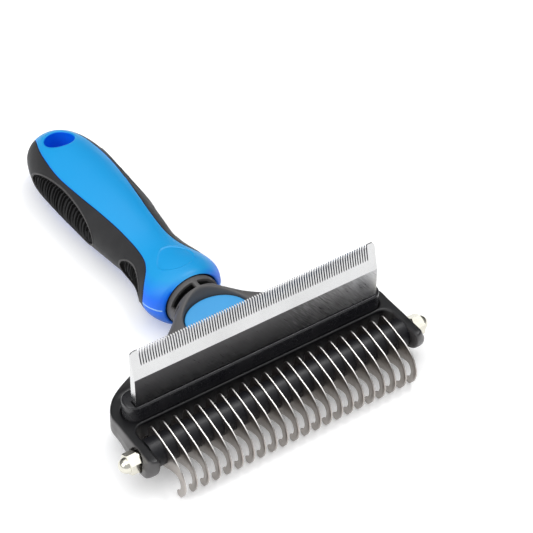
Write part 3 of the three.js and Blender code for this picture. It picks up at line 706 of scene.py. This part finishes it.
def sample(field, place):
    """Value and slope of the field at fractional grid places."""
    base = np.clip(np.floor(place).astype(int), 0, np.array(field.shape) - 2)
    f = place - base
    value = np.zeros(len(place))
    slope = np.zeros((len(place), 3))
    for i, j, k in product((0, 1), repeat=3):
        corner = field[base[:, 0] + i, base[:, 1] + j, base[:, 2] + k]
        w = [f[:, axis] if step else 1 - f[:, axis] for axis, step in enumerate((i, j, k))]
        value += corner * w[0] * w[1] * w[2]
        slope[:, 0] += corner * (1 if i else -1) * w[1] * w[2]
        slope[:, 1] += corner * (1 if j else -1) * w[0] * w[2]
        slope[:, 2] += corner * (1 if k else -1) * w[0] * w[1]
    return value, slope


def surface_net(field):
    """Quads over the surface where the field is zero: (places in cells, faces)."""
    active = cells_on_surface(field)
    cells = np.argwhere(active)
    number = np.full(active.shape, -1)
    number[active] = np.arange(len(cells))
    total = np.zeros((len(cells), 3))
    hits = np.zeros(len(cells))
    steps = np.eye(3, dtype=int)
    for axis in range(3):
        u, v = (a for a in range(3) if a != axis)
        for start in (0 * steps[0], steps[u], steps[v], steps[u] + steps[v]):
            a = field[tuple((cells + start).T)]
            b = field[tuple((cells + start + steps[axis]).T)]
            crosses = (a < 0) != (b < 0)
            share = np.where(crosses, a / np.where(crosses, a - b, 1), 0)
            total += (start + share[:, None] * steps[axis]) * crosses[:, None]
            hits += crosses
    place = cells + total / hits[:, None]
    faces = []
    for axis in range(3):
        u, v = (a for a in range(3) if a != axis)
        if axis == 1:
            u, v = v, u
        a = np.moveaxis(field, axis, 0)[:-1]
        b = np.moveaxis(field, axis, 0)[1:]
        crosses = np.argwhere(np.moveaxis((a < 0) != (b < 0), 0, axis))
        for side in (u, v):
            crosses = crosses[(crosses[:, side] > 0) & (crosses[:, side] < field.shape[side] - 1)]
        ring = [crosses, crosses - steps[u], crosses - steps[u] - steps[v], crosses - steps[v]]
        quads = np.stack([number[tuple(c.T)] for c in ring], -1)
        outward = field[tuple(crosses.T)] < 0
        quads[~outward] = quads[~outward][:, ::-1]
        faces.append(quads)
    return place, np.vstack(faces)


YOKE_TOP, YOKE_BOTTOM, YOKE_NOSE = 5.3, -5.5, -9.2
BAR_FRONT, BAR_BACK = 9.2, 34
BUTTON_Y, BUTTON_HALF, BUTTON_LONG = 37.7, 12.4, 10.1
NECK_RADIUS = 10.4
NECK_SECTIONS = [  # half-width, station and half-height
    (47, 25, 5.6), (38, 30, 6.3), (27, 35, 6.6), (20.4, 40, 6.9), (16.3, 43.5, 7.5),
    (12.8, 47, 8.9), (10.7, 50, 10.1), (NECK_RADIUS, 53, NECK_RADIUS), (NECK_RADIUS, 56, NECK_RADIUS),
]


def yoke_outline():
    """The crossbar and the lugs from above, as (x, y)."""
    corner, nose = 4, 3
    rear = [(LUG_OUTER, 13), (LUG_OUTER, 17.4), (53.8, 21.2), (49.9, 25.5), (41.2, 30.3), (30, BAR_BACK)]
    right = np.vstack([
        [(0, BAR_FRONT)],
        arc(LUG_INNER - corner, BAR_FRONT - corner, corner, 90, 0),
        [(LUG_INNER, YOKE_NOSE)],
        arc(LUG_OUTER - nose, YOKE_NOSE + nose, nose, -90, 0),
        curve_through(rear, 6),
        [(0, BAR_BACK)],
    ])
    left = right[1:-1][::-1] * (-1, 1)
    return without_repeats(np.vstack([right, left]))


def lug_outline():
    """A lug from the side, as (y, z), open to the back."""
    return without_repeats(np.vstack([
        [(90, YOKE_BOTTOM), (90, YOKE_TOP), (YOKE_NOSE + 3, YOKE_TOP)],
        bend((YOKE_NOSE + 3, YOKE_TOP), (YOKE_NOSE, YOKE_TOP), (YOKE_NOSE, 2)),
        bend((YOKE_NOSE, 2), (YOKE_NOSE + 1, YOKE_BOTTOM + 1), (YOKE_NOSE + 8, YOKE_BOTTOM)),
    ]))


def yoke_field(x, y, z):
    """The crossbar and lugs; the lugs swell outwards below their top edge and draw in at the foot."""
    flat = polygon_distance(yoke_outline(), x[:, :, 0], y[:, :, 0])
    side = polygon_distance(lug_outline(), y[0], z[0])
    field = np.empty(x.shape)
    across = x[:, 0, 0]
    front = 1 - smoothstep(0, 15, y[0, :, 0])
    wall = np.sign(across) * smoothstep(LUG_INNER, LUG_INNER + 6, np.abs(across))
    for k in range(x.shape[2]):
        swell = np.interp(z[0, 0, k], (YOKE_BOTTOM, 1, YOKE_TOP), (1.9, 1.7, 0)) * (0.3 + 0.7 * front)
        for j in range(x.shape[1]):
            field[:, j, k] = np.interp(across - wall * swell[j], across, flat[:, j])
    tall = np.maximum(z - YOKE_TOP, YOKE_BOTTOM - z)
    field = rounded(field, tall, 0.7)
    # a slanting plane, further out at the nose, that takes the swelling off the foot
    foot = 0.8 * (np.abs(x) - 56.7 - 2.1 * front[None, :, None]) - 0.6 * (z + 2)
    return both(both(field, foot, 1.5), side[None], 1.4)


def neck_field(x, y, z):
    """The trumpet from the flat crossbar to the round collar."""
    width, station, height = curve_through(NECK_SECTIONS, 10).T
    w = np.interp(y, station, width)
    h = np.interp(y, station, height)
    power = 2 + 5 * np.clip((50 - y) / 16, 0, 1)
    swell = (np.abs(x / w) ** power + np.abs(z / h) ** power) ** (1 / power) - 1
    slope = np.sqrt(sum(g * g for g in np.gradient(swell, CELL)))
    field = swell / np.maximum(slope, 0.02)
    return both(field, np.maximum(station[0] - y, y - station[-1]), 0.6)


def cut_collar(field, x, y, z):
    """The windows, the slits in front of them, the bore and the latch's passage and notch."""
    around = np.hypot(x, z)
    angle = np.degrees(np.arctan2(z, np.abs(x)))
    for turned, middle, reach, start, end in [
        (np.abs(angle), 49.5, 35.5, 50.6, 53.3),
        (angle, 14, 20, 48.5, 49.9),
    ]:
        edge_on = within(turned, middle, reach) * math.pi / 180 * NECK_RADIUS
        opening = rounded(edge_on, within(y, (start + end) / 2, (end - start) / 2), 0.3)
        field = cut(field, np.maximum(opening, 7.2 - around), 0.25)
    ring = np.maximum(around - 8.2, 6 - around)
    field = cut(field, np.maximum(ring, within(y, 52.1, 2.1)))
    latch = np.maximum(within(x, 0, 4.3), within(z, 0.6, 1.9))
    field = cut(field, np.maximum(latch, within(y, 56, 13)))
    notch = np.maximum(within(x, 0, 2.5), within(y, 67.5, 1.6))
    return cut(field, np.maximum(notch, -z))


def cut_button_well(field, x, y, z):
    """The slope round the button, its well and the hollow under it."""
    oval = oval_distance(x, y - BUTTON_Y, BUTTON_HALF + 0.35, BUTTON_LONG + 0.35, 0.01)
    field = cut(field, (6.3 + 2.4 * oval - z) / 2.6, 0.8)
    field = cut(field, np.maximum(oval, -3.8 - z), 0.4)
    right = [(40, 20.5), (40, 25.6), (19.4, 35.4), (11, 46.5)]
    hollow = np.array(right + [(-u, v) for u, v in right[::-1]])
    plan = polygon_distance(hollow, x[:, :, 0], y[:, :, 0])[:, :, None]
    return cut(field, np.maximum(plan, z + 3.5), 0.4)


def cut_crossbar(field, x, y, z):
    """The holder's pocket, the slots for the rake blades' tails, the rod's bore and the nuts' seats."""
    plan = polygon_distance(holder_plan(FIT_GAP), x[:, :, 0], y[:, :, 0])[:, :, None]
    field = cut(field, np.maximum(plan, -FIT_GAP - z), 0.5)
    tail = np.maximum(off_grid(x + RAKE_PITCH / 2, RAKE_PITCH) - 0.7, within(z, -3.7, 1.7))
    field = cut(field, np.maximum(tail, np.maximum(y - 11.4, within(x, 0, 48.5))))
    rod = np.hypot(y, z)
    field = cut(field, rod - ROD_BORE)
    return cut(field, np.maximum(rod - 4.3, 54.6 - np.abs(x)), 0.3)


def head_field(x, y, z):
    """The whole head frame: crossbar, lugs, neck and tang, with everything cut out of them."""
    field = join(yoke_field(x, y, z), neck_field(x, y, z), 2.2)
    tang = np.maximum(np.hypot(x, z) - 7.4, within(y, 62, 10))
    field = cut_collar(join(field, tang), x, y, z)
    field = cut_button_well(field, x, y, z)
    return cut_crossbar(field, x, y, z)


def make_head():
    low, high = np.array([-59.5, -10.6, -11.5]), np.array([59.5, 73, 11.5])
    counts = ((high - low) / CELL).astype(int) + 1
    x, y, z = np.meshgrid(*(low[i] + CELL * np.arange(counts[i]) for i in range(3)), indexing="ij")
    field = head_field(x, y, z)
    place, faces = surface_net(field)
    for _ in range(2):
        value, slope = sample(field, place)
        place = place - np.clip(value / np.maximum((slope**2).sum(1), 1e-6), -0.4, 0.4)[:, None] * slope
    softened = (np.roll(field, 1, 2) + np.roll(field, -1, 2) + 2 * field) / 4
    _, slope = sample(softened, place)
    normal = slope / np.maximum(np.linalg.norm(slope, axis=1, keepdims=True), 1e-9)
    mesh = bpy.data.meshes.new("fine_head_frame")
    mesh.from_pydata(((low + place * CELL) * MM + ROD).tolist(), [], faces.tolist())
    mesh.shade_smooth()
    mesh.normals_split_custom_set_from_vertices(normal.tolist())
    mesh.materials.append(FRAME_PLASTIC)
    mesh.materials.append(INSIDE_PAINTED_SHADE)
    px, py, pz = (low + place[faces].mean(1) * CELL).T
    # faces inside the collar's bore take the painted shade
    inside = (np.hypot(px, pz) < 9.3) & (py > 50.3) & (py < 58)
    mesh.polygons.foreach_set("material_index", inside.astype(int))
    show("head_frame", mesh, "comb")


def make_button():
    """An oval cap with a soft edge and a barely crowned face."""
    foot, face = 2.2, 6.0
    # how far inside the outline the cap's skin is at each height
    skin_rows = [
        (0, foot), (0, 5.35), (0.06, 5.6), (0.2, 5.78), (0.42, 5.86), (1.5, 5.9), (4, 5.95), (8, face),
    ]
    angle = np.linspace(0, 2 * math.pi, 96, endpoint=False)
    rows = []
    for inward, z in skin_rows:
        a, b = BUTTON_HALF - inward, BUTTON_LONG - inward
        rows.append(np.stack([a * np.cos(angle), BUTTON_Y + b * np.sin(angle), 0 * angle + z], -1))
    build = Build()
    build.grid(np.array(rows), wrap=True)
    build.fan(rows[-1], (0, BUTTON_Y, face))
    build.fan(rows[0], (0, BUTTON_Y, foot))
    mesh = build.finish("fine_release_button", [BUTTON_BLUE], 50)
    show("release_button", mesh, "button")


def make_spring():
    """The spring under the button, given a mesh of its own."""
    turns, radius, wire, foot, top = 2.5, 3.6, 0.35, -3.15, -0.05
    share = np.linspace(0, 1, 90)[:, None]
    round_wire = np.linspace(0, 2 * math.pi, 12, endpoint=False)[None]
    angle = 2 * math.pi * turns * share
    out = radius + wire * np.cos(round_wire)
    rise = foot + (top - foot) * share + wire * np.sin(round_wire)
    grid = np.stack([out * np.cos(angle), BUTTON_Y + out * np.sin(angle), rise], -1)
    build = Build()
    build.grid(grid, wrap=True)
    for ring in (grid[0], grid[-1]):
        build.fan(ring, ring.mean(0))
    mesh = build.finish("fine_button_spring", [SPRING_STEEL])
    spring = show("button_spring", mesh, "comb")
    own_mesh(spring)


# ---- the handle
HANDLE_SECTIONS = [  # half-width, station and half-height
    (11.5, 55.3, 11), (13.4, 57, 11.8), (15.3, 61, 12), (15.5, 65, 11.8),
    (14.2, 71, 11.1), (12.4, 78, 10.3), (12, 85, 10.1), (13, 94, 10.7),
    (14.4, 107, 11.8), (15.4, 122, 12.4), (15.5, 135, 12.42), (14.7, 146, 11.9),
    (13, 153, 10.7), (10.2, 159, 8.3), (5.6, 163.1, 4.5), (0.2, 164.6, 0.2),
]
LIP = [(10.7, 58, 10.7), (10.7, 56, 10.7), (10.78, 55.6, 10.74), (11.05, 55.36, 10.88)]
BORDER = [  # where blue meets black from above, as (x, y)
    (16.6, 62.6), (14.4, 64.8), (10, 70), (8, 74.5), (6.9, 82), (7.2, 93), (8.5, 105),
    (10, 118), (10.9, 131), (10.5, 140), (9, 150), (6.6, 157.5), (5, 162), (4, 168),
]
NEAR = (0, 0.05, 0.12, 0.26, 0.5)  # distances from the border
DIP = (0.32, 0.13, 0.05, 0.01, 0)  # how far the skin is sunk there
HOLE_AT, HOLE_RADIUS, HOLE_RIM, HOLE_SIDES = 150.4, 5.9, 0.9, 72
SEAM = 0.03
MOUTH_ROWS, TIP_ROWS = (62.8, 66, 0.12), (160, 165, 0.35)
RIB_PITCH = 1.85
LONG_OVAL, SHORT_OVAL = (124.5, 22.3, 7.4), (76, 9.6, 4.9)  # station, half-length and half-height


def stations(fine):
    """Half-width, station and half-height down the handle; fine ranges are (from, to, step)."""
    curve = curve_through(HANDLE_SECTIONS, 120)
    length = np.concatenate([[0], np.cumsum(np.linalg.norm(np.diff(curve[:, :2], axis=0), axis=1))])
    step = np.full(len(curve), 0.8)
    for start, end, size in fine:
        step[(curve[:, 1] > start) & (curve[:, 1] < end)] = size
    rows = np.concatenate([[0], np.cumsum(np.diff(length) / step[1:])])
    wanted = np.linspace(0, rows[-1], int(rows[-1]) + 1)
    return [np.interp(wanted, rows, curve[:, i]) for i in range(3)]


def border_angle(width, station):
    """Angle above the side, seen along the handle, where blue meets black."""
    line = np.vstack([BORDER[:1], curve_through(BORDER[1:-1], 20), BORDER[-1:]])
    border = np.interp(station, line[:, 1], line[:, 0])
    border[station < BORDER[0][1]] = 99
    return np.arccos(np.clip(border / width, 0, 1))


def border_steps(width, station, height, angle):
    """Angles from the border of points at the true distances NEAR from it."""
    line = np.stack([width * np.cos(angle), station, height * np.sin(angle)], -1)
    run = np.gradient(line, axis=0)
    steep = np.linalg.norm(run, axis=1) / np.maximum(np.abs(run[:, 1]), 1e-6)
    steep = np.clip(np.where(angle > 0.001, steep, 1), 1, 5)
    speed = np.hypot(width * np.sin(angle), height * np.cos(angle))
    return np.array([NEAR]) * (steep / np.maximum(speed, 0.5))[:, None]


def strip(first, last, count):
    """Angles across a shell or a grip, and how far the skin is sunk there by its two borders."""
    middle = np.linspace(0, 1, count)[1:-1]
    span = first[:, -1:] + (last[:, :1] - first[:, -1:]) * middle[None]
    angles = np.hstack([first[:, :1], first, span, last, last[:, -1:]])
    dip = np.zeros(angles.shape)
    dip[:, 1 : len(DIP) + 1] = DIP
    dip[:, -len(DIP) - 1 : -1] = DIP[::-1]
    return angles, dip


def skin(width, station, height, angles, depth):
    """Points of the handle's skin at those angles, sunk by depth along the normal."""
    along = np.repeat(station[:, None], angles.shape[1], 1)
    grid = np.stack([width[:, None] * np.cos(angles), along, height[:, None] * np.sin(angles)], -1)
    normal = normals_of(grid)
    outward = grid * (1, 0, 1)
    normal *= np.sign((normal * outward).sum(-1, keepdims=True))
    return grid - normal * depth[..., None]


def thumb_rest(grid):
    """How deep the shallow thumb rest on top of the flare is at each point."""
    corners = [
        (-5.9, 63.4), (-6.8, 66.6), (-4.2, 70.9), (-1.2, 73.8), (1.8, 73.8),
        (4.9, 72), (7.3, 69.4), (7.2, 65.4), (4.5, 61.8), (0.8, 60.6), (-2.7, 61.1),
    ]
    outline = curve_through(corners[-2:] + corners + corners[:3], 6)[12:-13]
    distance = polygon_distance(outline, grid[..., 0], grid[..., 1])
    return 0.24 * smoothstep(0.2, -0.2, distance) - 0.07 * ridge(distance - 0.3, 0.25)


def zip_loops(outer, inner, angle_of):
    """Triangles between two rings of point numbers that go round a hole."""
    outer, inner = sorted(outer, key=angle_of), sorted(inner, key=angle_of)
    n, m = len(outer), len(inner)
    i = j = 0
    faces = []
    while i < n or j < m:
        a, b = outer[i % n], inner[j % m]
        next_outer = angle_of(outer[(i + 1) % n]) + (2 * math.pi if i + 1 >= n else 0)
        next_inner = angle_of(inner[(j + 1) % m]) + (2 * math.pi if j + 1 >= m else 0)
        if j >= m or (i < n and next_outer <= next_inner):
            faces.append((a, outer[(i + 1) % n], b))
            i += 1
        else:
            faces.append((a, inner[(j + 1) % m], b))
            j += 1
    return faces


def hole_rings(width, station, height):
    """The rounded rim of the hanging hole and its wall down to the seam."""
    turn = np.linspace(0, 2 * math.pi, HOLE_SIDES, endpoint=False)
    rings = []
    for share in np.linspace(0, 1, 8):
        radius = HOLE_RADIUS + HOLE_RIM * (1 - math.sin(share * math.pi / 2))
        drop = HOLE_RIM * (1 - math.cos(share * math.pi / 2))
        x, y = radius * np.cos(turn), HOLE_AT + radius * np.sin(turn)
        w, h = np.interp(y, station, width), np.interp(y, station, height)
        rings.append(np.stack([x, y, h * np.sqrt(np.maximum(1 - (x / w) ** 2, 0)) - drop], -1))
    bottom = rings[-1].copy()
    bottom[:, 2] = SEAM
    return np.array([*rings, bottom])


def with_hole(grid, rings):
    """The sheet without its faces near the hanging hole, sewn to the hole's rings instead."""
    build = Build()
    around = np.hypot(grid[..., 0], grid[..., 1] - HOLE_AT).reshape(-1)
    clear = HOLE_RADIUS + HOLE_RIM + 0.3
    dropped = set()

    def keep(face):
        if all(around[i] > clear for i in face):
            return True
        dropped.update(face)
        return False

    build.grid(grid, keep=keep)
    used = {i for face in build.faces for i in face}
    start = build.grid(rings, wrap=True)

    def angle_of(i):
        px, py, _ = build.points[i]
        return math.atan2(py - HOLE_AT, px)

    build.faces += zip_loops(dropped & used, range(start, start + HOLE_SIDES), angle_of)
    return build


def shell(side):
    """The blue upper (side 1) or lower (side -1) shell."""
    outer = stations([(57, 76, 0.25), MOUTH_ROWS, TIP_ROWS])
    width, station, height = np.hstack([np.transpose(LIP), outer])
    border = border_angle(width, station)
    bead = np.where(border < 0.001, 1.0, 0)[:, None]  # 1 where the shells meet each other
    steps = border_steps(width, station, height, border)
    steps = np.minimum(steps, 0.3 * (math.pi / 2 - border)[:, None])
    first = border[:, None] + steps + bead * SEAM / np.maximum(height, 1)[:, None]
    angles, dip = strip(first, math.pi - first[:, ::-1], 110)
    dip = dip * (1 - bead) - bead * 0.09 * (dip > 0.1)
    dip[:, 0] = dip[:, -1] = 1.5
    if side > 0:
        dip += thumb_rest(skin(width, station, height, angles, 0 * dip))
    dip[: len(LIP), 1:-1] = 0
    grid = skin(width, station, height, angles, dip)
    build = with_hole(grid, hole_rings(*outer))
    build.points = [(px, py, side * pz) for px, py, pz in build.points]
    return build


def grip_ovals(y, z):
    return [oval_distance(y - at, z, long, high) for at, long, high in (LONG_OVAL, SHORT_OVAL)]


def grip_part(x, y, z):
    """0 on the skin, 1 on the floors of the two ovals, painted dark as painted shade, and 2 on their rims,
    painted lighter as a painted highlight.
    """
    long_oval, short_oval = grip_ovals(y, z)
    nearest = np.minimum(long_oval, short_oval)
    ribbed = (nearest < -0.8) & (off_grid(y, RIB_PITCH) < 0.2)
    floor = (nearest < 0) & ~ribbed
    rim = (within(long_oval, 0.35, 0.35) < 0) | (within(short_oval, 0.35, 0.35) < 0)
    return floor + 2 * rim


def grip_relief(y, z):
    """Depth of the two ovals, their rims and their ribs, lower in the short one."""
    long_oval, short_oval = grip_ovals(y, z)
    depth = 0.95 * smoothstep(0.25, -0.45, long_oval) + 1.1 * smoothstep(0.25, -1.2, short_oval)
    depth -= 0.22 * (ridge(long_oval - 0.4, 0.4) + ridge(short_oval - 0.4, 0.4))
    height = 0.8 * smoothstep(-0.6, -1.1, long_oval) + 0.35 * smoothstep(-0.6, -1.1, short_oval)
    return depth - height * ridge(off_grid(y, RIB_PITCH), 0.22)


def grip(side):
    """The rubber piece on one side of the handle."""
    rows = np.array(stations([(101, 148, 0.15), (64, 87, 0.16), MOUTH_ROWS, TIP_ROWS]))
    width, station, height = rows[:, border_angle(rows[0], rows[1]) > 0.02]
    border = border_angle(width, station)
    steps = np.minimum(border_steps(width, station, height, border), 0.3 * border[:, None])
    first = border[:, None] - steps
    angles, dip = strip(first, -first[:, ::-1], 96)
    flat = skin(width, station, height, angles, 0 * dip)
    dip += grip_relief(flat[..., 1], flat[..., 2])
    dip[:, 0] = dip[:, -1] = 1.2
    build = Build()
    build.grid(skin(width, station, height, angles, dip) * (side, 1, 1))
    return build


def on_seam_highlight(x, y, z):
    """The bead where the two shells meet on the flare, painted lighter blue as a painted highlight."""
    return (np.abs(z) < 0.3) & (np.abs(x) > 12) & (y < 64)


def make_handle():
    for side, node in ((1, "handle_upper_shell"), (-1, "handle_lower_shell")):
        mesh = shell(side).finish(f"fine_{node}", [BLUE, SEAM_HIGHLIGHT_BLUE], 60, on_seam_highlight)
        show(node, mesh, "comb")
    for side, node in ((-1, "left_grip"), (1, "right_grip")):
        mesh = grip(side).finish(f"fine_{node}", [RUBBER, RUBBER_PAINTED_SHADE, RUBBER_RIM_HIGHLIGHT], 60, grip_part)
        show(node, mesh, "comb")


# ---- the stage
def dress_cad():
    """Materials of the CAD nodes that show as they are."""
    for node, material in (("rake_rod", RAKE_STEEL), ("head_back_cover", BLACK), ("latch_arm", LATCH)):
        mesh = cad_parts[node].data
        mesh.materials.clear()
        mesh.materials.append(material)


def make_floor():
    """White paper that glows a little, so that the shadows stay light."""
    s = Shader("paper", (0.93, 0.93, 0.93), 0.7, Emission_Color=(1, 1, 1, 1), Emission_Strength=0.18)
    put(s.main, Specular_IOR_Level=0.2)
    s.mottle(12, 3, 0.01)
    mesh = bpy.data.meshes.new("floor")
    size = 4
    corners = [(-size, -size, 0), (size, -size, 0), (size, size, 0), (-size, size, 0)]
    mesh.from_pydata(corners, [], [(0, 1, 2, 3)])
    mesh.materials.append(s.material)
    add("floor", mesh)


def add_light(name, at, aim, width, depth, power):
    data = bpy.data.lights.new(name, "AREA")
    data.shape = "RECTANGLE"
    data.size, data.size_y = width, depth
    data.energy = power
    light = add(name, data)
    light.location = at
    light.rotation_euler = (Vector(aim) - Vector(at)).to_track_quat("-Z", "Y").to_euler()


def make_lights():
    """A white room that is brightest behind the camera, and three softboxes."""
    world = bpy.data.worlds.new("studio")
    world.use_nodes = True
    nodes, links = world.node_tree.nodes, world.node_tree.links
    place = nodes.new("ShaderNodeTexCoord")
    toward = nodes.new("ShaderNodeVectorMath")
    toward.operation = "DOT_PRODUCT"
    toward.inputs[1].default_value = (-0.5, -0.7, 0.5)
    glow = nodes.new("ShaderNodeMapRange")
    put(glow, From_Min=-0.5, From_Max=0.6, To_Min=0.06, To_Max=0.7)
    links.new(place.outputs["Generated"], toward.inputs[0])
    links.new(toward.outputs["Value"], glow.inputs["Value"])
    links.new(glow.outputs["Result"], nodes["Background"].inputs["Strength"])
    nodes["Background"].inputs["Color"].default_value = (0.97, 0.98, 1, 1)
    bpy.context.scene.world = world
    add_light("key_softbox", (0.62, 0.12, 1.42), (0, -0.03, 0), 0.55, 0.5, 6)
    add_light("overhead_softbox", (0, 0, 1.7), (0, 0, 0), 2.4, 2.4, 21)
    add_light("left_softbox", (-1.5, -0.1, 1.0), (0, 0, 0), 1.1, 1.0, 10)


def make_camera():
    """Stands left of, in front of and above the comb, at the photograph's angle."""
    right = Vector((0.83001229, -0.55774511, 0))
    up = Vector((0.37450462, 0.55732167, 0.74103904))
    back = right.cross(up)
    data = bpy.data.cameras.new("camera")
    data.sensor_width = 36
    data.lens = 130.018762
    data.clip_start = 0.01
    camera = add("camera", data)
    turn = Matrix((right, up, back)).transposed().to_4x4()
    place = Vector(ROD) + Vector((-258.211, -376.854, 471.277)) * MM
    camera.matrix_world = Matrix.Translation(place) @ turn
    bpy.context.scene.camera = camera


make_rake()
make_deshedding_blade()
make_holder()
make_head()
make_button()
make_spring()
make_handle()
dress_cad()
make_floor()
make_lights()
make_camera()
bpy.context.scene.view_settings.view_transform = "Standard"
